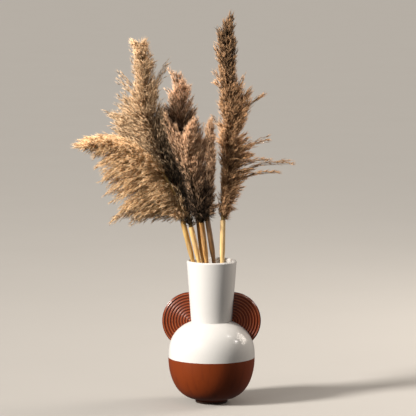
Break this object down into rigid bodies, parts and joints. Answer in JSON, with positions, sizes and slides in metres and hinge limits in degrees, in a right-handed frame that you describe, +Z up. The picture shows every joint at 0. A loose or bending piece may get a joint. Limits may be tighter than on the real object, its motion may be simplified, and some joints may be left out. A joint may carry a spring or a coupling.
{
  "type": "dried pampas grass in vase",
  "caption": "Fluffy dried pampas plumes on straw-coloured canes, standing in a round two-tone stoneware vase with a flared neck and ridged disc handles.",
  "frame": {"origin": "centre of the foot's flat underside, on the vase's axis", "axes": "+Z up the vase's axis; the two handles lie along X; the front, which is the side the arrangement is seen from, faces -Y"},
  "size_m": [0.4401, 0.1832, 0.7973],
  "materials": {
    "white_glaze": "satin",
    "brown_glaze": "satin",
    "straw": "satin",
    "down_golden": "matte",
    "down_beige": "matte",
    "down_grey": "matte",
    "down_rosy": "matte",
    "down_pink": "matte",
    "down_taupe": "matte"
  },
  "bodies": {
    "root": {"vase": "white_glaze", "handle_left": "brown_glaze", "handle_right": "brown_glaze", "stem_1": "straw", "stem_2": "straw", "stem_3": "straw", "stem_4": "straw", "stem_5": "straw", "stem_6": "straw", "plume_1": "down_golden", "plume_2": "down_beige", "plume_3": "down_grey", "plume_4": "down_rosy", "plume_5": "down_pink", "plume_6": "down_taupe"}
  },
  "joints": []
}
